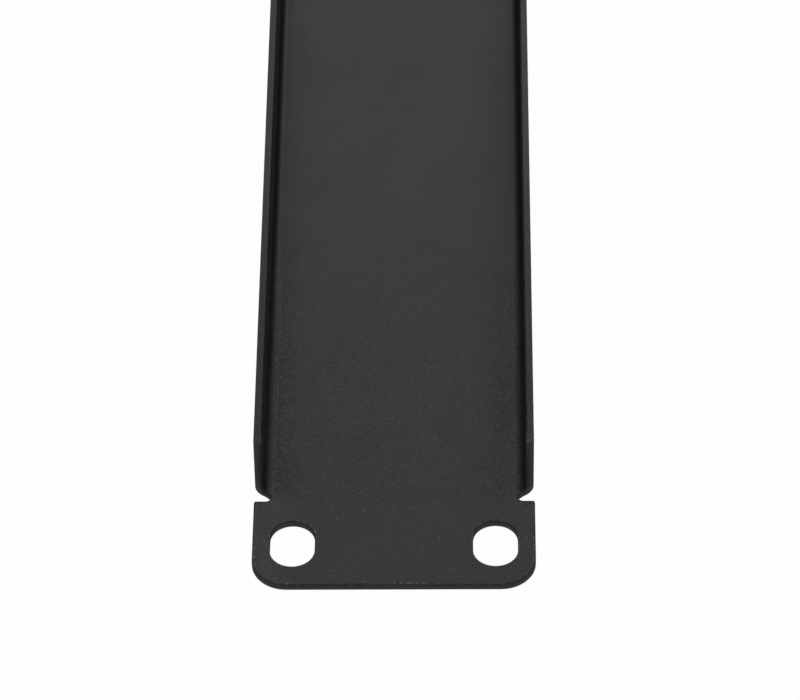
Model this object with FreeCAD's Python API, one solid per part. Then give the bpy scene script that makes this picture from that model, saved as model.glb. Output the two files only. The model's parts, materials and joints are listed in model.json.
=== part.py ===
import FreeCAD
import Part
import math
import os

# Blanking panel, one unit high, that closes an empty place in a 19 inch equipment rack.
# It is one steel sheet: punched flat, folded up along its two long edges and coated.
# The panel lies on its front face, in the plane Z = 0, with its two flanges standing up.
# X runs along the panel from ear to ear, and Y across its height in the rack.
# The origin is the middle of the front face.

# Driving dimensions, in millimetres
PANEL_LENGTH = 482.6        # over both ears: the 19 inches of the rack
RACK_UNIT = 44.45           # height of one unit in the rack
UNIT_GAP = 0.15             # how much less than a unit the ears are high
FLANGE_INSET = 0.2          # from an ear's edge in to the outside face of a flange
FLANGE_DEPTH = 12.6         # from the front face to the free edge of a flange
SHEET = 1.3                 # thickness of the sheet with its coat
BEND_RADIUS = 1.4           # inside each fold
SLOT_FROM_END = 8.75        # from the panel's end to the middle of a slot
SLOT_FROM_UNIT_LINE = 6.35  # from the line between two units to the middle of a slot
SLOT_LENGTH = 9.75          # along the panel
SLOT_WIDTH = 7.0            # across the panel
EAR_LENGTH = 18.0           # from the panel's end to the relief behind the ear
RELIEF_WIDTH = 1.8          # punched relief between an ear and the end of a flange
RELIEF_PAST_FOLD = 0.05     # how far the relief's round end passes the line where the fold starts
EAR_CORNER_RADIUS = 5.5     # outer corners of the ears
EDGE_BREAK = 0.15           # bevel along every edge, as punching and the coat leave it
EDGE_BREAK_SHARE = 0.4      # most of the sheet's thickness that the bevel of one edge may take

# Sizes that follow from the driving dimensions
HALF_EAR = (RACK_UNIT - UNIT_GAP) / 2
HALF_SPAN = HALF_EAR - FLANGE_INSET
OUTER_BEND = BEND_RADIUS + SHEET
FOLD_LINE = HALF_SPAN - OUTER_BEND
END_X = PANEL_LENGTH / 2
RELIEF_X = END_X - EAR_LENGTH - RELIEF_WIDTH / 2
SLOT_X = END_X - SLOT_FROM_END
SLOT_Y = RACK_UNIT / 2 - SLOT_FROM_UNIT_LINE
BEVEL = min(EDGE_BREAK, EDGE_BREAK_SHARE * SHEET)

SIDES = (-1, 1)
HALF_TURN = math.cos(math.radians(45))   # middle of a quarter circle of radius 1
SHARP = math.radians(30)                 # faces that meet at more than this make an edge
ALONG_X = FreeCAD.Vector(1, 0, 0)
ALONG_Y = FreeCAD.Vector(0, 1, 0)
ALONG_Z = FreeCAD.Vector(0, 0, 1)


def in_section(y, z):
    """Point of the cross-section in the middle of the panel."""
    return FreeCAD.Vector(0, y, z)


def in_face(y, x):
    """Point of the front face."""
    return FreeCAD.Vector(x, y, 0)


def line(start, end):
    return Part.LineSegment(start, end).toShape()


def arc(start, middle, end):
    return Part.Arc(start, middle, end).toShape()


def bay(point, half_width, base, mouth, radius):
    """Rectangle between base and mouth, with both corners at its base rounded."""
    inward = math.copysign(radius, mouth - base)
    nip = 1 - HALF_TURN
    corners = []
    for side in SIDES:
        wall = side * half_width
        towards_middle = -side * radius
        corners.append((
            point(wall, mouth),
            point(wall, base + inward),
            point(wall + towards_middle * nip, base + inward * nip),
            point(wall + towards_middle, base),
        ))
    (mouth_a, wall_a, round_a, base_a), (mouth_b, wall_b, round_b, base_b) = corners
    return Part.Face(Part.Wire([
        line(mouth_a, wall_a),
        arc(wall_a, round_a, base_a),
        line(base_a, base_b),
        arc(base_b, round_b, wall_b),
        line(wall_b, mouth_b),
        line(mouth_b, mouth_a),
    ]))


def channel():
    """The face and its two folded flanges, from one ear's reliefs to the other's."""
    run = ALONG_X * (2 * RELIEF_X)
    outside = bay(in_section, HALF_SPAN, 0, FLANGE_DEPTH, OUTER_BEND)
    inside = bay(in_section, HALF_SPAN - SHEET, SHEET, FLANGE_DEPTH + SHEET, BEND_RADIUS)
    folded = outside.extrude(run).cut(inside.extrude(run))
    folded.translate(run * -0.5)
    return folded


def ear(side):
    """Flat ear with round outer corners, on one end of the panel."""
    outline = bay(in_face, HALF_EAR, side * END_X, side * RELIEF_X, EAR_CORNER_RADIUS)
    return outline.extrude(ALONG_Z * SHEET)


def punch(middle, along, length, width):
    """Round-ended punch that goes through the sheet and through a flange that stands there."""
    across = along.cross(ALONG_Z) * (width / 2)
    reach = along * ((length - width) / 2)
    tip = along * (length / 2)
    outline = Part.Face(Part.Wire([
        line(middle - reach - across, middle + reach - across),
        arc(middle + reach - across, middle + tip, middle + reach + across),
        line(middle + reach + across, middle - reach + across),
        arc(middle - reach + across, middle - tip, middle - reach - across),
    ]))
    outline.translate(ALONG_Z * -SHEET)
    return outline.extrude(ALONG_Z * (FLANGE_DEPTH + 2 * SHEET))


def slot(side_x, side_y):
    """Slot for a rack screw, longer along the panel to take up the rack's tolerance."""
    middle = in_face(side_y * SLOT_Y, side_x * SLOT_X)
    return punch(middle, ALONG_X, SLOT_LENGTH, SLOT_WIDTH)


def relief(side_x, side_y):
    """Relief between an ear and a flange, so that the fold ends without tearing the sheet."""
    inner_tip = FOLD_LINE - RELIEF_PAST_FOLD
    outer_tip = HALF_EAR + RELIEF_WIDTH
    middle = in_face(side_y * (inner_tip + outer_tip) / 2, side_x * RELIEF_X)
    return punch(middle, ALONG_Y, outer_tip - inner_tip, RELIEF_WIDTH)


def sharp_edges(solid):
    """Edges where two faces meet at a corner and not in a smooth run."""
    found = []
    for edge in solid.Edges:
        point = edge.valueAt((edge.FirstParameter + edge.LastParameter) / 2)
        faces = solid.ancestorsOfType(edge, Part.Face)
        normals = [face.normalAt(*face.Surface.parameter(point)) for face in faces]
        if normals[0].getAngle(normals[1]) > SHARP:
            found.append(edge)
    return found


def blanking_panel():
    """The whole panel: folded, with its ears, punched through, and its edges broken."""
    corners = [(side_x, side_y) for side_x in SIDES for side_y in SIDES]
    punches = [make(*corner) for make in (slot, relief) for corner in corners]
    blank = channel().fuse([ear(side) for side in SIDES])
    folded = blank.cut(punches).removeSplitter().Solids[0]
    return folded.makeChamfer(BEVEL, sharp_edges(folded)).Solids[0]


panel = blanking_panel()
os.makedirs("parts", exist_ok=True)
panel.exportStep("parts/blanking_panel.step")
print("blanking panel of", round(panel.Volume), "cubic mm,", len(panel.Faces), "faces")
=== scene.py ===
# %% [markdown]
# A blanking panel for a 19 inch rack. A blanking panel closes an empty place in an equipment rack, so
# that the cooling air goes where it should. The real one is a single steel sheet: punched flat, folded up
# along both long edges, then powder coated. This lesson makes it in the same order: a flat blank with its
# holes, the two folds, the soft edges, the coat. The solid model is loaded first and never changed. It
# gives the sizes, and the finished mesh stands in its place.

# %% Load the solid model
import json
import math
from collections import namedtuple
import bmesh
import bpy
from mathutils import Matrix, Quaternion, Vector
from mathutils.geometry import tessellate_polygon


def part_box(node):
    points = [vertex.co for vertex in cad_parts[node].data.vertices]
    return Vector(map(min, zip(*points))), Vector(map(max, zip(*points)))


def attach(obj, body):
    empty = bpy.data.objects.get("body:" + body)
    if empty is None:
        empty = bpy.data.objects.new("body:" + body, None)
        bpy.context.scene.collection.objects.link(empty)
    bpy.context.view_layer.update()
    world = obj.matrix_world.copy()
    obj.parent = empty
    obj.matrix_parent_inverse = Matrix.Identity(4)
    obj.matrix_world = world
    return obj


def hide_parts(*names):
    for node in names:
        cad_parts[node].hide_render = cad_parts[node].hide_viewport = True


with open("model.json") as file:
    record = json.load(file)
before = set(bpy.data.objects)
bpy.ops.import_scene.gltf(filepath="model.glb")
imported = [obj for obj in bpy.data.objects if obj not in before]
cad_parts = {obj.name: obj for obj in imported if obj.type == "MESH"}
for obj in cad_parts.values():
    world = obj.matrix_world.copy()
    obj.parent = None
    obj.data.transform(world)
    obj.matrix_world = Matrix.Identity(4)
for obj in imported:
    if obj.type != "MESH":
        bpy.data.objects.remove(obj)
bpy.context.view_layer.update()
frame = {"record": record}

# %% [markdown]
# Sizes. Everything is in metres. The overall size comes from the solid model's box, and the sheet's
# thickness and the slots come from the slot pattern in its record, so the mesh lands on the solid without
# any fitting by eye. The few sizes that are not in the record, such as those of the folds, are written
# where they are first needed.

# %% Read the sizes
MM = 0.001
NODE = "blanking_panel"
HALF_LENGTH, HALF_EAR, FLANGE_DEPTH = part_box(NODE)[1]
pattern = next(m for m in frame["record"]["mounts"] if m["kind"] == "bolt_pattern")
holes = pattern["dims"]
SHEET = pattern["pos_m"][2]
SLOT_X = holes["spacing_x_mm"] / 2 * MM
SLOT_Y = holes["spacing_y_mm"] / 2 * MM
SLOT_RADIUS = holes["hole_r_mm"] * MM
SLOT_REACH = holes["slot_length_mm"] / 2 * MM - SLOT_RADIUS
print("sheet", round(SHEET / MM, 2), "mm thick, slots", round(2 * SLOT_RADIUS / MM, 2), "mm wide")

# %% [markdown]
# The flat blank. Its outline is straight cuts and arcs, and one quarter of it is enough, because the
# panel is alike at both ends and along both edges. Booleans could cut it from a plate, but they leave
# ragged faces along their cuts. Here each point of the outline also keeps its outward direction, how
# large the round on the back of its edge is, and how wide a flat band lies beside that round. Nothing
# more is needed later to build the edge exactly. Across the blank, distances are measured along the
# middle of the sheet, so that the fold neither stretches nor shortens it. Such a distance from the middle
# line is called run.

# %% Where the fold lies on the blank
FLANGE_INSET = 0.2 * MM    # from the ear's edge in to the outside of the flange
BEND_RADIUS = 1.4 * MM     # inside the fold
MIDDLE_BEND = BEND_RADIUS + SHEET / 2
OUTER_BEND = BEND_RADIUS + SHEET
FOLD_LINE = HALF_EAR - FLANGE_INSET - OUTER_BEND
FOLD_RUN = MIDDLE_BEND * math.pi / 2
FLANGE_START = FOLD_LINE + FOLD_RUN
FLANGE_EDGE = FOLD_LINE + FOLD_RUN + FLANGE_DEPTH - OUTER_BEND
print("half a blank is", round(FLANGE_EDGE / MM, 2), "mm wide, its fold", round(FOLD_RUN / MM, 2), "mm")

# %% Arcs of the outline
ARC_STEP = math.radians(6)
FEWEST_STEPS = 4
EAR_ROUND = 0.15 * MM      # round on the back of the ear's end, the slots and the reliefs
BAND = 0.25 * MM
EdgePoint = namedtuple("EdgePoint", "x run out_x out_run rounding band")


def arc(centre_x, centre_run, radius, degrees, rounds=(EAR_ROUND, EAR_ROUND), hollow=False):
    """Points of an arc whose edge goes from the first round to the second. A hollow arc bounds a hole."""
    first, last = (math.radians(angle) for angle in degrees)
    steps = max(FEWEST_STEPS, math.ceil(abs(last - first) / ARC_STEP))
    facing = -1 if hollow else 1
    spots = []
    for i in range(steps + 1):
        angle = first + (last - first) * i / steps
        out_x, out_run = math.cos(angle), math.sin(angle)
        rounding = rounds[0] + (rounds[1] - rounds[0]) * i / steps
        band = BAND if hollow else min(BAND, radius - rounding)
        spots.append(EdgePoint(centre_x + radius * out_x, centre_run + radius * out_run,
                               facing * out_x, facing * out_run, rounding, band))
    return spots


slot_edge = arc(SLOT_X + SLOT_REACH, SLOT_Y, SLOT_RADIUS, (-90, 90), hollow=True)
slot_edge += arc(SLOT_X - SLOT_REACH, SLOT_Y, SLOT_RADIUS, (90, 270), hollow=True)
print(len(slot_edge), "points round a slot")

# %% [markdown]
# Ear, relief and flange. Beyond each fold the ear stays flat, to lie against the rack's rail. A narrow
# relief parts the ear from the flange, so that the sheet folds without tearing, and its round end lies
# just outside the line where the fold starts. The quarter outline runs from the middle of the ear's end,
# round the ear's corner, into the relief, up the end of the flange and along its free edge. The edge
# isn't equally soft all the way: the sides of the ear are softer than its end, the free edge of the
# flange is softer still, and the round is largest at the top of the fold's end. One Bevel modifier would
# make all of them alike.

# %% The ear's outline
EAR_LENGTH = 18.0 * MM
EAR_CORNER = 5.5 * MM
SMALL_CORNER = 0.3 * MM
SIDE_ROUND = 0.28 * MM
ear_inner_x = HALF_LENGTH - EAR_LENGTH

ear_middle = EdgePoint(HALF_LENGTH, 0, 1, 0, EAR_ROUND, BAND)
ear_corner = arc(HALF_LENGTH - EAR_CORNER, HALF_EAR - EAR_CORNER, EAR_CORNER, (0, 90),
                 rounds=(EAR_ROUND, SIDE_ROUND))
inner_corner = arc(ear_inner_x + SMALL_CORNER, HALF_EAR - SMALL_CORNER, SMALL_CORNER, (90, 180),
                   rounds=(SIDE_ROUND, EAR_ROUND))
print("ear from", round(ear_inner_x / MM, 1), "to", round(HALF_LENGTH / MM, 1), "mm along the panel")

# %% The relief and the end of the fold
RELIEF_RADIUS = 0.9 * MM
RELIEF_TIP = 0.2 * MM      # from the fold line out to the relief's round end
END_ROUND = 0.75 * MM
FOLD_STEPS = 16
relief_x = ear_inner_x - RELIEF_RADIUS
flange_end_x = relief_x - RELIEF_RADIUS
relief_centre = FOLD_LINE + RELIEF_TIP + RELIEF_RADIUS

relief_end = arc(relief_x, relief_centre, RELIEF_RADIUS, (0, -180), hollow=True)
fold_cut = []
for i in range(1, FOLD_STEPS + 1):
    run = relief_centre + (FLANGE_START - relief_centre) * i / FOLD_STEPS
    rounding = EAR_ROUND + (END_ROUND - EAR_ROUND) * i / FOLD_STEPS
    fold_cut.append(EdgePoint(flange_end_x, run, 1, 0, rounding, BAND))
print("flange ends", round(flange_end_x / MM, 1), "mm from the panel's middle")

# %% The flange's outline, and the whole quarter
FREE_ROUND = 0.4 * MM
EDGE_EASE = FLANGE_DEPTH / 4    # over this length the free edge comes to its full round

flange_corner = arc(flange_end_x - SMALL_CORNER, FLANGE_EDGE - SMALL_CORNER, SMALL_CORNER, (0, 90))
free_edge = [EdgePoint(x, FLANGE_EDGE, 0, 1, FREE_ROUND, BAND) for x in (flange_end_x - EDGE_EASE, 0)]

outline = [ear_middle] + ear_corner + inner_corner + relief_end
tip = len(outline) - 1 - len(relief_end) // 2
outline += fold_cut
fold_top = len(outline) - 1
outline += flange_corner + free_edge
print(len(outline), "points in a quarter of the outline")

# %% [markdown]
# The fold. On a press brake the flat blank is bent round a straight tool, and only a narrow strip beside
# the fold line takes the curve. A Simple Deform modifier bends everything at once, so a short formula is
# better: up to the fold line nothing moves, then a point runs round the arc, and past the arc it goes
# straight up. The height of a point in the sheet brings it nearer to the middle of the bend or takes it
# further away, so both skins come out with their true radius. Over half of the relief's width the fold
# eases to nothing, because the ear beside it stays flat. At the end of a real fold the inside is squeezed
# and bulges, and the outside is stretched and draws in, so the end leans a little there. The same angles
# turn each point's normal.

# %% Fold a point of the blank
DRAW = 0.15 * MM    # most that the skins move at the end of the fold


def draw_slope(turn):
    """How far the end of the fold leans, as a share of the height in the sheet."""
    return math.sin(2 * turn) * DRAW / (SHEET / 2)


def fold(x, run, height):
    """Place and turn of the folded sheet at (x, run), this high above the middle of the sheet."""
    share = min(max((relief_x - x) / RELIEF_RADIUS, 0), 1)
    past = max(run - FOLD_LINE, 0) * share
    turn = min(past / MIDDLE_BEND, math.pi / 2)
    if turn == 0:
        return Vector((x, run, SHEET / 2 + height)), turn
    rise = max(past - FOLD_RUN, 0)
    radius = MIDDLE_BEND - height
    flat = FOLD_LINE + (run - FOLD_LINE) * (1 - share)
    drawn = x * (1 + draw_slope(turn) * height / flange_end_x)
    y = flat + radius * math.sin(turn)
    return Vector((drawn, y, OUTER_BEND - radius * math.cos(turn) + rise)), turn


def folded_normal(out_x, out_run, up, turn):
    """Direction on the folded sheet of a direction on the flat blank."""
    cosine, sine = math.cos(turn), math.sin(turn)
    lean = up - out_x * draw_slope(turn)
    return Vector((out_x, out_run * cosine - lean * sine, out_run * sine + lean * cosine)).normalized()


flange_top, top_turn = fold(0, FLANGE_EDGE, 0)
top_degrees = round(math.degrees(top_turn))
print("the free edge rises to", round(flange_top.z / MM, 2), "mm, turned by", top_degrees, "degrees")

# %% [markdown]
# Soft edges. A punched edge is never knife sharp, and the coat rounds it further. The Bevel modifier can
# do that, but on holes and thin webs its corners wander. The edge's own profile is simple: a narrow flat
# band, a quarter round, a short wall and a smaller quarter round on the front. Each point of the outline
# gets that whole profile, set back along its outward direction, and neighbours are joined by quads. The
# profile also gives exact normals, so the wide flat faces stay perfectly flat beside their rounded rims.

# %% Profile of an edge
ROUND_STEPS = 6
FRONT_ROUND = 0.06 * MM


def edge_profile(back_round, band):
    """Points (set back, height, outward, up) over an edge, from the back of the sheet to its front."""
    profile = [(back_round + band, SHEET / 2, 0, 1)]
    for start_angle, radius, side in ((0, back_round, 1), (90, FRONT_ROUND, -1)):
        middle = side * (SHEET / 2 - radius)
        for i in range(ROUND_STEPS + 1):
            angle = math.radians(start_angle + 90 * i / ROUND_STEPS)
            out, up = math.sin(angle), math.cos(angle)
            profile.append((radius * (1 - out), middle + radius * up, out, up))
    return profile


print(len(edge_profile(EAR_ROUND, BAND)), "points across an edge")

# %% [markdown]
# One quarter of the panel. Its mesh has three parts: the rims along the outline and round the slot, the
# flat skin of the ear and the face, and the long strips of the fold and the flange. The skin with its
# hole is cut into triangles. The strips are plain quads that run from the panel's middle to each point of
# the fold's end, so the fold is as smooth as those points are close. Beside its normal, each point keeps
# three numbers for the finish: how deep it lies in the sheet, how much it belongs to a cut edge, and
# whether it lies where the round of a rim begins.

# %% Points of the folded sheet
points, normals, depths, edges, rims, faces = [], [], [], [], [], []


def add_point(x, run, height, out_x=0, out_run=0, up=1, at_rim=0):
    """Adds a point and what it keeps. On the flange only the end counts as a cut edge."""
    spot, turn = fold(x, run, height)
    points.append(spot)
    normals.append(folded_normal(out_x, out_run, up, turn))
    depths.append((SHEET / 2 - height) / SHEET)
    edges.append(abs(out_x) if run > FLANGE_START else math.hypot(out_x, out_run))
    rims.append(at_rim)
    return len(points) - 1


print("points so far:", len(points))


# %% Rims along the outline and round the slot
def rim(path, closed):
    """Lofts the edge's profile along a path and returns rows of points, one for each point of the path."""
    rows = []
    for spot in path:
        row = []
        for back, height, out, up in edge_profile(spot.rounding, spot.band):
            x, run = spot.x - spot.out_x * back, spot.run - spot.out_run * back
            at_rim = len(row) == 1
            row.append(add_point(x, run, height, spot.out_x * out, spot.out_run * out, up, at_rim))
        rows.append(row)
    neighbours = rows[1:] + rows[:1] if closed else rows[1:]
    for here, there in zip(rows, neighbours):
        for i in range(len(here) - 1):
            faces.append((here[i], here[i + 1], there[i + 1], there[i]))
    return rows


outline_rows = rim(outline, closed=False)
slot_rows = rim(slot_edge, closed=True)
print(len(points), "points on the rims")


# %% Skins and strips
def skin(side, height, up):
    """One side of the sheet: the flat part round the slot, the strips of the fold, and the flat flange."""
    edge = [row[side] for row in outline_rows]
    hole = [row[side] for row in slot_rows]
    centre = add_point(0, 0, height, up=up)
    middle = {}
    for i in range(tip, fold_top + 1):
        spot = outline[i]
        set_back = edge_profile(spot.rounding, spot.band)[side][0]
        middle[i] = add_point(0, spot.run - spot.out_run * set_back, height, up=up)
    flat = [centre] + edge[:tip + 1] + [middle[tip]]
    loops = [[points[i] for i in flat], [points[i] for i in hole]]
    corners = flat + hole
    made = [tuple(corners[i] for i in triangle) for triangle in tessellate_polygon(loops)]
    made += [(middle[i], edge[i], edge[i + 1], middle[i + 1]) for i in range(tip, fold_top)]
    made.append((middle[fold_top], *edge[fold_top:]))
    return made


faces += skin(0, SHEET / 2, 1) + skin(-1, -SHEET / 2, -1)
print(len(points), "points and", len(faces), "faces in a quarter")

# %% [markdown]
# Four quarters, one sheet. The quarter is copied to the four corners with its signs changed, and the
# copies are welded where they meet. A Mirror modifier would do the same, but the exact normals have to be
# mirrored too, so the copies are made here. Faces that point the wrong way are found by comparing them
# with the known normals.

# %% Mirror a quarter
WELD = FRONT_ROUND / 1000


def add_quarter(work, layers, side):
    """Adds a copy of the quarter, with the signs of its places and normals changed by side."""
    corners = []
    for spot, normal, *numbers in zip(points, normals, depths, edges, rims):
        corner = work.verts.new(spot * side)
        for layer, value in zip(layers, [normal * side, *numbers]):
            corner[layer] = value
        corners.append(corner)
    for face in faces:
        work.faces.new([corners[i] for i in face])


print("points closer than", round(WELD / MM, 5), "mm are welded")


# %% Build the whole sheet
def whole_sheet(name):
    """Mirrors and welds the quarter, and returns the panel as a new object."""
    work = bmesh.new()
    normal_layer = work.verts.layers.float_vector.new("true_normal")
    number_layers = [work.verts.layers.float.new(kept) for kept in ("sheet_depth", "cut_edge", "at_rim")]
    for side in [Vector((i, j, 1)) for i in (-1, 1) for j in (-1, 1)]:
        add_quarter(work, [normal_layer, *number_layers], side)
    bmesh.ops.remove_doubles(work, verts=work.verts, dist=WELD)
    work.normal_update()
    wrong = []
    for face in work.faces:
        known = sum((corner[normal_layer] for corner in face.verts), Vector())
        if face.normal.dot(known) < 0:
            wrong.append(face)
    bmesh.ops.reverse_faces(work, faces=wrong)
    true_normals = [tuple(v[normal_layer]) for v in work.verts]
    for face in work.faces:
        face.smooth = True
    mesh = bpy.data.meshes.new(name)
    work.to_mesh(mesh)
    open_edges = sum(not e.is_manifold for e in work.edges)
    work.free()
    mesh.normals_split_custom_set_from_vertices(true_normals)
    print(name, "has", len(mesh.vertices), "points,", len(mesh.polygons), "faces,",
          open_edges, "open edges")
    return bpy.data.objects.new(name, mesh)


panel = whole_sheet("folded_panel")
bpy.context.scene.collection.objects.link(panel)

# %% [markdown]
# Shader arithmetic. A coat is described best as sums and products of patterns. Adding Math nodes by hand
# hides the formula, so one small class wraps a socket, and ordinary Python arithmetic on it adds the
# nodes. A step from 0 to 1 at a border, a mix of two colours and any other node have methods of their
# own.

# %% A socket that can be calculated with
class Wire:
    """An output socket. Arithmetic on wires adds Math nodes, and node() adds any other node."""

    def __init__(self, tree, socket=None):
        self.tree = tree
        self.socket = socket

    def node(self, kind, settings=None, inputs=None, output=0):
        """Adds a node: its settings first, then the values or wires of its sockets."""
        made = self.tree.nodes.new(kind)
        for name, value in (settings or {}).items():
            setattr(made, name, value)
        for name, value in (inputs or {}).items():
            if isinstance(value, Wire):
                self.tree.links.new(value.socket, made.inputs[name])
            else:
                made.inputs[name].default_value = value
        return Wire(self.tree, made.outputs[output] if made.outputs else None)

    def math(self, operation, first, second):
        return self.node("ShaderNodeMath", {"operation": operation}, {0: first, 1: second})

    def __add__(self, other):
        return self.math("ADD", self, other)

    def __sub__(self, other):
        return self.math("SUBTRACT", self, other)

    def __rsub__(self, other):
        return self.math("SUBTRACT", other, self)

    def __mul__(self, other):
        return self.math("MULTIPLY", self, other)

    __radd__ = __add__
    __rmul__ = __mul__

    def size(self):
        """The value without its sign."""
        return self.math("ABSOLUTE", self, 0.0)

    def axis(self, name):
        """The X, Y or Z of a vector."""
        return self.node("ShaderNodeSeparateXYZ", inputs={"Vector": self}, output=name)

    def above(self, border, softness):
        """0 below the border and 1 above it, with a smooth step that reaches this far to each side."""
        settings = {"interpolation_type": "SMOOTHSTEP"}
        inputs = {"Value": self, "From Min": border - softness, "From Max": border + softness}
        return self.node("ShaderNodeMapRange", settings, inputs)

    def below(self, border, softness):
        """1 below the border and 0 above it."""
        return 1 - self.above(border, softness)

    def tint(self, colour, other):
        """The first colour where this wire is 0, and the other where it is 1."""
        inputs = {"Factor": self, 6: colour, 7: other}
        return self.node("ShaderNodeMix", {"data_type": "RGBA"}, inputs, output=2)


print("wires can be added, subtracted and multiplied")


# %% Start and finish a material
def new_material(name):
    """A material with an empty node tree, and a wire to build from."""
    material = bpy.data.materials.new(name)
    material.use_nodes = True
    material.node_tree.nodes.clear()
    return material, Wire(material.node_tree)


def finish_material(shader):
    """Joins the finished shader to the material's output."""
    shader.node("ShaderNodeOutputMaterial", inputs={"Surface": shader})


print("materials in the solid model:", len(bpy.data.materials))

# %% [markdown]
# Places on the panel. The coat isn't alike everywhere: it is grainy near the ends, calmer on the ears, and
# paler at the ears' inner corners, where scuffs and painted light lie. Such places could be painted by
# hand as vertex colours, but they are easier to move when they are worked out from the position on the
# panel. Both ends are alike, so distances from the middle lines are enough, and only the left and the
# right edge are told apart. Each place is a mask, which is 1 inside, 0 outside and soft at its border. In
# the cells on the coat, two numbers in brackets are such a border and its softness.

# %% Distances on the panel
coat_material, start = new_material("black_powder_coat")
place = start.node("ShaderNodeTexCoord", output="Object")
along = place.axis("X").size()
aside = place.axis("Y")
across = aside.size()
up = place.axis("Z")


def mesh_number(name):
    """One of the numbers that each point of the mesh keeps."""
    return start.node("ShaderNodeAttribute", {"attribute_name": name}, output="Fac")


sheet_depth = mesh_number("sheet_depth")
cut_edge = mesh_number("cut_edge")
at_rim = mesh_number("at_rim")
print(len(coat_material.node_tree.nodes), "nodes tell where a point of the coat lies")

# %% Masks for the pieces of the panel
ENDS = (0.17, 0.03)
EAR = (relief_x, 2 * MM)
PAST_FOLD = (FOLD_LINE, 0.25 * MM)
CREST = (FLANGE_DEPTH - 0.5 * MM, 0.2 * MM)
CREST_END = (flange_end_x - 0.5 * MM, 0.2 * MM)
MIDDLE_LINE = (0, MM)

near_end = along.above(*ENDS)
on_ear = along.above(*EAR)
off_ear = 1 - on_ear
past_fold = across.above(*PAST_FOLD)
crest = up.above(*CREST)
crest_end = crest * along.above(*CREST_END)
left = aside.below(*MIDDLE_LINE)
print("grainy ends from", ENDS[0], "m outwards")

# %% [markdown]
# Grain. The coat is sprayed on as dry powder and melted in an oven. Fine powder doesn't flow out quite
# flat: it leaves a grain of about a third of a millimetre, over a slower orange peel. Real relief that
# fine would take millions of faces, so it is noise, and it goes into the bump, the roughness and a little
# into the colour. Two sizes of noise are mixed, because one alone looks too regular. The grain is strong
# near the ends and most in the folds there, calmer on the ears, and hardly shows towards the panel's
# middle.

# %% Grain
GRAIN = 0.36 * MM
FINE_GRAIN = GRAIN * 0.6
PEEL = 1.5 * MM
CLOUD = 14 * MM
MEAN = 0.5                 # middle value of a noise


def noise(size, spot=place, detail=2.0):
    """Noise from 0 to 1 with lumps of about this size."""
    inputs = {"Vector": spot, "Scale": 1 / size, "Detail": detail, "Roughness": 0.55}
    return start.node("ShaderNodeTexNoise", inputs=inputs)


grain = noise(GRAIN)
fine = noise(FINE_GRAIN)
peel = noise(PEEL)
cloud = noise(CLOUD)
print("grain of", round(GRAIN / MM, 2), "and", round(FINE_GRAIN / MM, 2), "mm")

# %% Strength of the grain
CALM = 0.35                # in the middle of the panel
GAIN_AT_ENDS = 2.1
GAIN_IN_FOLDS = 2
LOSS_ON_EARS = 1.4
IN_FOLD = (FOLD_LINE - 0.1 * MM, 0.3 * MM)
COARSE_SHARE, FINE_SHARE = 0.6, 0.4
MOTTLE = (0.56, 0.14)

in_fold = across.above(*IN_FOLD) * off_ear
strength = CALM + near_end * (GAIN_AT_ENDS + in_fold * GAIN_IN_FOLDS) - on_ear * LOSS_ON_EARS
mottle = (grain * COARSE_SHARE + fine * FINE_SHARE).above(*MOTTLE)
print("grain", round((CALM + GAIN_AT_ENDS) / CALM, 1), "times as strong at the ends as in the middle")

# %% [markdown]
# Painted light and shade. Beside each fold a slightly paler strip is painted on the face, as painted light
# where the flange hides the back lamp from the face's gloss. The inside of the fold is painted a deeper
# black as painted shade. The sides of the ears are painted a little paler, and their inner corners more,
# as painted light where the flange's end shades them, with faint slanting streaks in the coat. The left
# and the right edge differ a little, as painted light that falls more from one side, and the top of the
# right flange is painted paler as well. Each place could have a material of its own, but then the borders
# would be hard. All of this only shifts how pale the coat is, so it is added up in one number before any
# colour is chosen.

# %% Beside and inside the folds
PAINTED_LIGHT_STRIP = (FOLD_LINE - 1.6 * MM, 0.8 * MM)
PAINTED_FOLD_SHADE = (8.5 * MM, 2 * MM)
PAINTED_FOLD_SHADE_RISE_LEFT = 3 * MM    # how much higher the painted shade reaches on the left
PAINTED_LIGHT_STRIP_AT_ENDS = 1.7        # how much more the painted light on the right shows near the ends
PAINTED_LIGHT_STRIP_LOSS_LEFT = 2.4      # how much less than that the left one does
PAINTED_FOLD_SHADE_AT_ENDS = 1.5

# Painted light: a paler strip on the face beside each fold, stronger near the ends and on the right.
painted_light_strip = across.above(*PAINTED_LIGHT_STRIP) * (1 - past_fold) * off_ear
# Painted shade: the inside of each fold is made a deeper black, reaching higher up on the left.
painted_fold_shade = past_fold * (up - left * PAINTED_FOLD_SHADE_RISE_LEFT).below(*PAINTED_FOLD_SHADE) * off_ear
painted_light_strip_tone = painted_light_strip * (1 + near_end * (PAINTED_LIGHT_STRIP_AT_ENDS - left * PAINTED_LIGHT_STRIP_LOSS_LEFT))
painted_fold_light_and_shade = painted_light_strip_tone - painted_fold_shade * (1 + near_end * PAINTED_FOLD_SHADE_AT_ENDS)
print("paler strips", round((FOLD_LINE - PAINTED_LIGHT_STRIP[0]) / MM, 1), "mm wide beside the folds")

# %% Painted light on the sides of the ears
EAR_SIDE = (HALF_EAR - 5 * MM, 3 * MM)
INNER_SIDE = (HALF_EAR - 5 * MM, 4 * MM)
INNER_PART = (HALF_LENGTH - 9 * MM, 4 * MM)
STREAK = 0.7 * MM
STREAK_SLANT = math.radians(-14)
STREAK_STRETCH = 0.25      # a small scale along the streak draws it out
STREAK_STEP = (0.6, 0.08)

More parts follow.
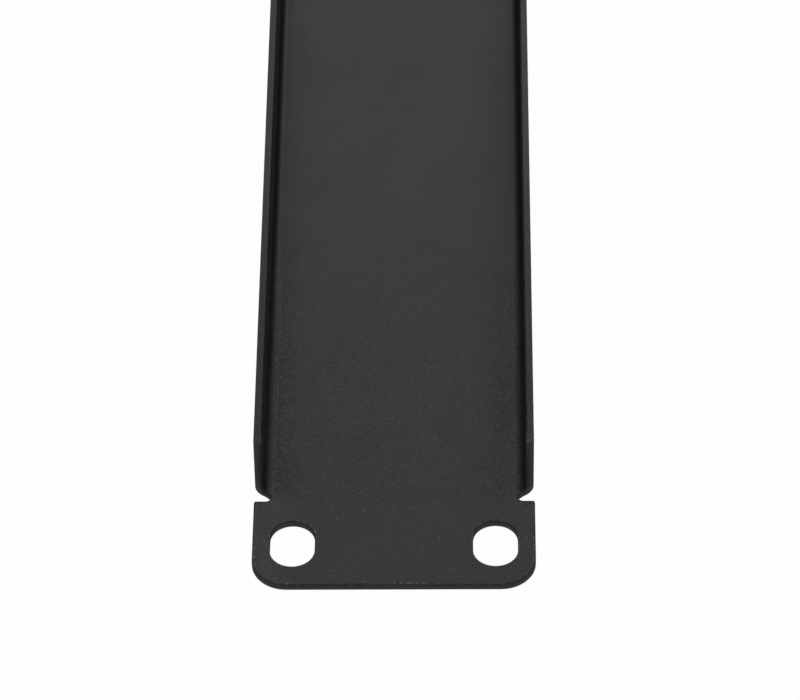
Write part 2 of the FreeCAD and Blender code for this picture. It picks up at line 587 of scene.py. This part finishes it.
# Painted light: the sides of the ears are made paler, and their inner corners more, where the flange's end
# shades them. The streaks are slanting marks in the coat that take some of that paleness away.
ear_side = on_ear * across.above(*EAR_SIDE)
inner_side = on_ear * across.above(*INNER_SIDE) * along.below(*INNER_PART)
slanted = start.node("ShaderNodeMapping", inputs={
    "Vector": place, "Rotation": (0, 0, STREAK_SLANT), "Scale": (STREAK_STRETCH, 1, 1)})
streak = noise(STREAK, spot=slanted).above(*STREAK_STEP)
print("streaks slant by", round(math.degrees(STREAK_SLANT)), "degrees")

# %% How pale the coat is
FOLD_PAINTED_LIGHT = 0.35
SIDE_PAINTED_LIGHT, SIDE_PAINTED_LIGHT_LEFT = 0.12, 0.1
INNER_PAINTED_LIGHT, INNER_PAINTED_LIGHT_LEFT, STREAK_LOSS = 0.65, 0.25, 0.45
MIDDLE_TONE = 0.3
GRAIN_WITH_PAINTED_LIGHT = 0.5           # how much the grain grows with the painted light
AT_FOLD = (0.4 * MM, 0.2 * MM)
FOLD_GLINT, FOLD_GLINT_LOSS = 2.2, 0.2

# All the painted light and shade in one number: the folds' strip and shade, painted light on the top of
# the right flange and on the ears, less the streaks.
painted_light_and_streaks = painted_fold_light_and_shade * FOLD_PAINTED_LIGHT + crest * (1 - left) * FOLD_PAINTED_LIGHT
painted_light_and_streaks = painted_light_and_streaks + ear_side * (SIDE_PAINTED_LIGHT + left * SIDE_PAINTED_LIGHT_LEFT)
painted_light_and_streaks = painted_light_and_streaks + inner_side * (INNER_PAINTED_LIGHT + left * INNER_PAINTED_LIGHT_LEFT - streak * STREAK_LOSS)
# Near the ends the fine grain puts pale specks along each fold line, and they also paint the highlight
# that the start of the fold catches.
at_fold = (across - FOLD_LINE).size().below(*AT_FOLD) * off_ear
fold_specks_and_glint = at_fold * (fine * FOLD_GLINT - FOLD_GLINT_LOSS) * near_end
pale = MIDDLE_TONE + (mottle - MIDDLE_TONE) * (strength + painted_light_and_streaks * GRAIN_WITH_PAINTED_LIGHT) + fold_specks_and_glint + painted_light_and_streaks
print(len(coat_material.node_tree.nodes), "nodes decide how pale the coat is")

# %% [markdown]
# Colour of the coat. It is a deep black, nearly neutral, with faint patches that lean to green. Most of
# what the eye sees is the satin gloss, so the colours are very dark, and the pale number only moves
# between two of them. A Color Ramp could hold the two colours, but here each of them changes with the
# patches, so they are mixed.

# %% Black with faint patches
PATCH = 5 * MM
PATCH_STEP = (0.5, 0.08)
EAR_MARGIN = (18.5 * MM, MM)
GREENER_EARS, NEUTRAL_MARGIN = 0.14, 0.34
NEUTRAL_DARK, GREENISH_DARK = (0.0011, 0.0011, 0.0012, 1), (0, 0.0034, 0.0018, 1)
NEUTRAL_PALE, GREENISH_PALE = (0.0201, 0.0201, 0.0204, 1), (0.0182, 0.0228, 0.0206, 1)

ear_margin = across.above(*EAR_MARGIN)
patch = (noise(PATCH) + on_ear * (GREENER_EARS - ear_margin * NEUTRAL_MARGIN)).above(*PATCH_STEP)
dark = patch.tint(NEUTRAL_DARK, GREENISH_DARK)
light = patch.tint(NEUTRAL_PALE, GREENISH_PALE)
coat = pale.tint(dark, light)
print("patches of about", round(PATCH / MM), "mm")

# %% [markdown]
# Specks, nibs, dots and scuffs, with some painted light. Pale specks of dust are melted into the coat,
# most of them along the folds. On the rims the coat stands up in small nibs, and the pale spots painted on
# them are painted highlights, the glints that the nibs catch. Between the folds the coat has a fine
# texture of paler dots and tiny pits. Single specks could be small meshes, but there are thousands of
# them. A cell texture cuts the surface into cells with one centre each, and its random colour picks the
# cells that hold a speck.

# %% Specks of dust
SPECK_CELL = 0.8 * MM
SPECK_REACH, SPECK_REACH_AT_FOLD, SPECK_LOSS_ON_EAR = 0.25, 0.28, 0.03
SPECK_STEP = (0.06, 0.05)
DUST = (0.08, 0.08, 0.08, 1)
DUST_SHOW, DUST_SHOW_ON_GRAIN = 0.15, 0.4

cells = {"Vector": place, "Scale": 1 / SPECK_CELL}
from_centre = start.node("ShaderNodeTexVoronoi", inputs=cells, output="Distance")
cell_colour = start.node("ShaderNodeTexVoronoi", inputs=cells, output="Color")
chance = start.node("ShaderNodeSeparateColor", inputs={"Color": cell_colour}, output="Red")
speck_size = chance * SPECK_REACH + at_fold * SPECK_REACH_AT_FOLD - on_ear * SPECK_LOSS_ON_EAR
speck = (speck_size - from_centre).above(*SPECK_STEP) * near_end
coat = (speck * (DUST_SHOW + grain * DUST_SHOW_ON_GRAIN)).tint(coat, DUST)
print("specks in cells of", round(SPECK_CELL / MM, 1), "mm")

# %% Nibs on the rims, painted as glints
NIB = 0.45 * MM
NIB_DRIFT = 0.5            # how much the nibs gather in some places
NIB_AT_RIM, GLINT_AT_CREST_END = 0.22, 0.08
NIB_STEP = (0.80, 0.09)
RIM_STEP = (0.2, 0.15)
NIB_GLINT_COLOUR = (0.17, 0.17, 0.165, 1)

lumps = noise(NIB) + (cloud - MEAN) * NIB_DRIFT
on_rim = (at_rim + crest_end).above(*RIM_STEP)
# Painted highlight: pale glints on the nibs of the rims, and a bright spot at the top corner of each
# flange's end.
nib_and_glint = (at_rim * NIB_AT_RIM + crest_end * GLINT_AT_CREST_END + lumps).above(*NIB_STEP) * on_rim
coat = nib_and_glint.tint(coat, NIB_GLINT_COLOUR)
print("nibs of about", round(NIB / MM, 2), "mm")

# %% Dots and pits between the folds
DOT = 0.28 * MM
DOT_STEP = (0.62, 0.08)
PIT_STEP = (0.62, 0.06)
LOW_DOWN = (3 * MM, MM)
TOWARDS_FOLD = (FOLD_LINE - 4 * MM, 3 * MM)
MIDDLE_DOTS, FOLD_DOTS = 0.4, 0.6
DOT_SHOW, DOT_SHOW_IN_STRIP = 0.55, 0.45
DOT_TOP = (0.040, 0.041, 0.040, 1)

dotted = MIDDLE_DOTS + across.above(*TOWARDS_FOLD) * FOLD_DOTS
textured = near_end * off_ear * up.below(*LOW_DOWN) * dotted
dots = noise(DOT, detail=0.0)
coat = (dots.above(*DOT_STEP) * textured * (DOT_SHOW + painted_light_strip * DOT_SHOW_IN_STRIP)).tint(coat, DOT_TOP)
pits = (1 - dots).above(*PIT_STEP) * textured
print("dots of about", round(DOT / MM, 2), "mm")

# %% A few bright specks
PICKED = (0.93, 0.02)      # of the cells' chances from 0 to 1
BRIGHT_REACH = 0.22
BRIGHT_STEP = (0, 0.06)
BRIGHT_ON_EAR = 0.85
BRIGHT_SPECK = (0.065, 0.066, 0.064, 1)

picked = chance.above(*PICKED) * (BRIGHT_REACH - from_centre).above(*BRIGHT_STEP)
coat = (picked * (textured + on_ear * BRIGHT_ON_EAR)).tint(coat, BRIGHT_SPECK)
print("bright specks in", round((1 - PICKED[0]) * 100), "of 100 cells")

# %% Scuffed corners of the ears, with painted light
CORNER_ACROSS = (HALF_EAR - 3 * MM, 2 * MM)
CORNER_ALONG = (ear_inner_x + 3.5 * MM, 2.5 * MM)
LEFT_SCUFF_AND_LIGHT = 0.4
SCUFF_COARSE, SCUFF_FINE = 0.4, 0.6
SCUFF_STEP = (0.5, 0.1)
SCUFF_AND_LIGHT_COLOUR = (0.050, 0.049, 0.049, 1)

# Pale grainy patches at the ears' inner corners and along the left sides of the ears. They are scuffs in
# the coat, and also painted light that lifts the shade at the corners and brightens the left side.
inner_tips = on_ear * across.above(*CORNER_ACROSS) * along.below(*CORNER_ALONG)
scuffed_and_lit_place = inner_tips + ear_side * left * LEFT_SCUFF_AND_LIGHT
scuff_and_painted_light = scuffed_and_lit_place * (grain * SCUFF_COARSE + fine * SCUFF_FINE).above(*SCUFF_STEP)
coat = scuff_and_painted_light.tint(coat, SCUFF_AND_LIGHT_COLOUR)
print(len(coat_material.node_tree.nodes), "nodes give the coat its colour")

# %% [markdown]
# Gloss of the coat. The grain's height goes through a Bump node, and the roughness changes a little with
# the grain and more slowly from place to place, so the satin sheen isn't that of moulded plastic. A
# stronger bump scatters so much of the light that the face goes too dark, so part of the grain is in the
# colour.

# %% Bump and roughness
GRAIN_HEIGHT = 0.020 * MM
PEEL_HEIGHT = 0.012 * MM
SATIN = 0.44
PIT_ROUGHER, GRAIN_ROUGHER, CLOUD_ROUGHER = 0.06, 0.15, 0.08

height = (grain + fine) * strength * GRAIN_HEIGHT + peel * PEEL_HEIGHT
bump = start.node("ShaderNodeBump", inputs={"Height": height, "Distance": 1.0, "Strength": 1.0})
rough = SATIN + pits * PIT_ROUGHER + (grain - MEAN) * GRAIN_ROUGHER + (cloud - MEAN) * CLOUD_ROUGHER
coated = start.node("ShaderNodeBsdfPrincipled", inputs={
    "Base Color": coat, "Roughness": rough, "Normal": bump, "Specular IOR Level": 0.5})
print("satin roughness", SATIN)

# %% [markdown]
# Cut edges. A punch shears the sheet: it burnishes the first part of the cut and tears the rest, and the
# thin coat there shows both. The burnished band is darker, the torn one paler and slightly warm, and
# their border wanders with the grain. Along the sides of the ears the torn band is palest, and so it is
# at the stretched end of a fold. Two more materials on loops of faces could make the bands, but their
# border would be a straight line, so the depth in the sheet chooses the colour.

# %% Burnished and torn bands
FLANGE_END = (4 * MM, MM)
FLANK = (0.45, 0.3)        # of how far a wall faces sideways
BURNISH_STEP = (0.5, 0.1)
TEAR = (0.42, 0.32)        # of the sheet's thickness, from the back
TEAR_WANDER = 0.4
FLANGE_LESS_TORN = 0.13
BURNISHED_DARK, BURNISHED_PALE = (0.035, 0.036, 0.035, 1), (0.058, 0.059, 0.057, 1)
TORN_LOW, TORN_ON_FLANGE = (0.071, 0.071, 0.060, 1), (0.072, 0.073, 0.070, 1)
BURNISHED_FLANK, TORN_FLANK = (0.046, 0.046, 0.040, 1), (0.110, 0.110, 0.092, 1)

on_flange_end = up.above(*FLANGE_END)
facing = start.node("ShaderNodeTexCoord", output="Normal")
ear_flank = facing.axis("Y").size().above(*FLANK) * on_ear
burnished = lumps.above(*BURNISH_STEP).tint(BURNISHED_DARK, BURNISHED_PALE)
burnished = ear_flank.tint(burnished, BURNISHED_FLANK)
torn = ear_flank.tint(on_flange_end.tint(TORN_LOW, TORN_ON_FLANGE), TORN_FLANK)
tear = sheet_depth + (grain - MEAN) * TEAR_WANDER - on_flange_end * FLANGE_LESS_TORN
cut = tear.above(*TEAR).tint(burnished, torn)
print("the cut tears at", round(TEAR[0] * SHEET / MM, 2), "mm from the back of the sheet")

# %% Stretched end of the fold
STRETCH_UP = (3.2 * MM, 1.2 * MM)
STRETCH_ACROSS = (FOLD_LINE + 0.3 * MM, 0.2 * MM)
STRETCH_ALONG = (ear_inner_x - 0.6 * MM, 0.2 * MM)
STRETCH_DEPTH = (0.4, 0.2)
STRETCH_WANDER = 0.6
STRETCHED = (0.100, 0.099, 0.082, 1)

fold_end = up.below(*STRETCH_UP) * across.above(*STRETCH_ACROSS) * along.below(*STRETCH_ALONG)
stretched = fold_end * (sheet_depth + (lumps - MEAN) * STRETCH_WANDER).above(*STRETCH_DEPTH)
cut = stretched.tint(cut, STRETCHED)
wall = start.node("ShaderNodeBsdfPrincipled", inputs={
    "Base Color": cut, "Roughness": 0.8, "Normal": bump, "Specular IOR Level": 0.02})
print("the end of each fold is stretched up to", round(STRETCH_UP[0] / MM, 1), "mm")

# %% [markdown]
# Coat the panel. The coat and the cut edges are two shaders. They could be two materials on their own
# faces, but the change from one to the other is gradual, so the share of cut edge that each point of the
# mesh keeps mixes them. On the ears the cut begins a little sooner, because their rims are rounded less.

# %% Coat the panel
EAR_CUT = 0.35
CUT_STEP = (0.55, 0.15)

cut_share = (cut_edge + on_ear * EAR_CUT).above(*CUT_STEP)
finish_material(start.node("ShaderNodeMixShader", inputs={0: cut_share, 1: coated, 2: wall}))
panel.data.materials.append(coat_material)
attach(panel, "root")
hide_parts(NODE)
print("coated", panel.name, "with", len(coat_material.node_tree.nodes), "nodes")

# %% [markdown]
# Table and light. The panel lies on its front face on a plain white table, in a room that is dim all round
# and lighter overhead. One large soft lamp hangs beyond its far end, and another above and behind the
# camera. A satin black part is seen mostly by what it reflects, so the lamps' sizes and places decide the
# picture: the flat faces mirror the back lamp and come out grey, the folds turn away from it and go dark,
# and the front lamp lights the cut edges. An even white surround would fill the folds with light. The
# table glows white to the camera and in reflections, with a little matt grey that keeps the panel's faint
# shadow.

# %% White table
TABLE_HALF = 12.0
TABLE_GAP = 0.01 * MM
TABLE_GLOW = 0.98
MATT_GREY, WHITE = (0.5, 0.5, 0.5, 1), (1, 1, 1, 1)


def white_table():
    """A large flat table just under the panel."""
    mesh = bpy.data.meshes.new("white_table")
    signs = ((-1, -1), (1, -1), (1, 1), (-1, 1))
    corners = [(i * TABLE_HALF, j * TABLE_HALF, -TABLE_GAP) for i, j in signs]
    mesh.from_pydata(corners, [], [(0, 1, 2, 3)])
    material, base = new_material("white_table")
    matt = base.node("ShaderNodeBsdfDiffuse", inputs={"Color": MATT_GREY})
    glow = base.node("ShaderNodeEmission", inputs={"Color": WHITE, "Strength": 1.0})
    rays = [base.node("ShaderNodeLightPath", output=name)
            for name in ("Is Camera Ray", "Is Glossy Ray", "Is Transmission Ray")]
    seen = rays[0] + rays[1] + rays[2]
    finish_material(base.node("ShaderNodeMixShader", inputs={0: seen * TABLE_GLOW, 1: matt, 2: glow}))
    mesh.materials.append(material)
    table = bpy.data.objects.new("white_table", mesh)
    bpy.context.scene.collection.objects.link(table)


white_table()
print("table", 2 * TABLE_HALF, "m wide")

# %% Lamps
BACK_LAMP = {"spot": (-1.8, 0.25, 1.3), "size": (1.9, 1.7), "glow": 0.885}
FRONT_LAMP = {"spot": (1.5, 0, 1.6), "size": (1.4, 1.4), "glow": 2.6}


def soft_lamp(name, spot, size, glow):
    """Rectangular soft lamp, turned to the panel. With the same glow, a larger one is as bright."""
    data = bpy.data.lights.new(name, "AREA")
    data.shape = "RECTANGLE"
    data.size, data.size_y = size
    data.energy = glow * math.pi * size[0] * size[1]
    lamp = bpy.data.objects.new(name, data)
    lamp.location = spot
    lamp.rotation_mode = "QUATERNION"
    lamp.rotation_quaternion = (-Vector(spot)).to_track_quat("-Z", "Y")
    bpy.context.scene.collection.objects.link(lamp)
    print(name, "of", round(data.energy, 1), "watts")


soft_lamp("back_lamp", **BACK_LAMP)
soft_lamp("front_lamp", **FRONT_LAMP)

# %% Dim surround
HORIZON = 0.02
ZENITH = 0.5


def dim_surround():
    """A room that is dim all round and lighter overhead."""
    world = bpy.data.worlds.new("dim_surround")
    world.use_nodes = True
    world.node_tree.nodes.clear()
    base = Wire(world.node_tree)
    overhead = base.node("ShaderNodeTexCoord", output="Generated").axis("Z")
    levels = {"Value": overhead, "To Min": HORIZON, "To Max": ZENITH}
    level = base.node("ShaderNodeMapRange", inputs=levels)
    room = base.node("ShaderNodeBackground", inputs={"Color": level, "Strength": 1.0})
    room.node("ShaderNodeOutputWorld", inputs={"Surface": room})
    bpy.context.scene.world = world


dim_surround()
bpy.context.scene.view_settings.view_transform = "Standard"
print("surround from", HORIZON, "to", ZENITH)

# %% [markdown]
# Camera. The photograph looks down the panel's length from above its near end, through a long lens, so
# the long edges hardly converge. The camera could be placed by eye, but its place, angles and focal
# length were worked out from the outline in the photograph, with the slots' known spacing as the scale,
# so the render lies on the photograph.

# %% Camera
IMAGE_WIDTH = 800
FOCAL_PIXELS = 5063.9
SENSOR = 36.0
CAMERA_PLACE = Vector((0.78014, 0.01149, 0.57275))
LOOK_DOWN = math.radians(44.032)
LOOK_ASIDE = math.radians(1.0513)
ROLL = math.radians(-0.9277)


def photo_camera():
    """The camera at the photograph's place."""
    data = bpy.data.cameras.new("photo_camera")
    data.sensor_width = SENSOR
    data.lens = FOCAL_PIXELS / IMAGE_WIDTH * SENSOR
    camera = bpy.data.objects.new("photo_camera", data)
    level = math.cos(LOOK_DOWN)
    aim = Vector((-level * math.cos(LOOK_ASIDE), -level * math.sin(LOOK_ASIDE), -math.sin(LOOK_DOWN)))
    camera.rotation_mode = "QUATERNION"
    camera.rotation_quaternion = aim.to_track_quat("-Z", "Y") @ Quaternion((0, 0, 1), ROLL)
    camera.location = CAMERA_PLACE
    bpy.context.scene.collection.objects.link(camera)
    bpy.context.scene.camera = camera
    print("camera with a", round(data.lens, 1), "mm lens")


photo_camera()
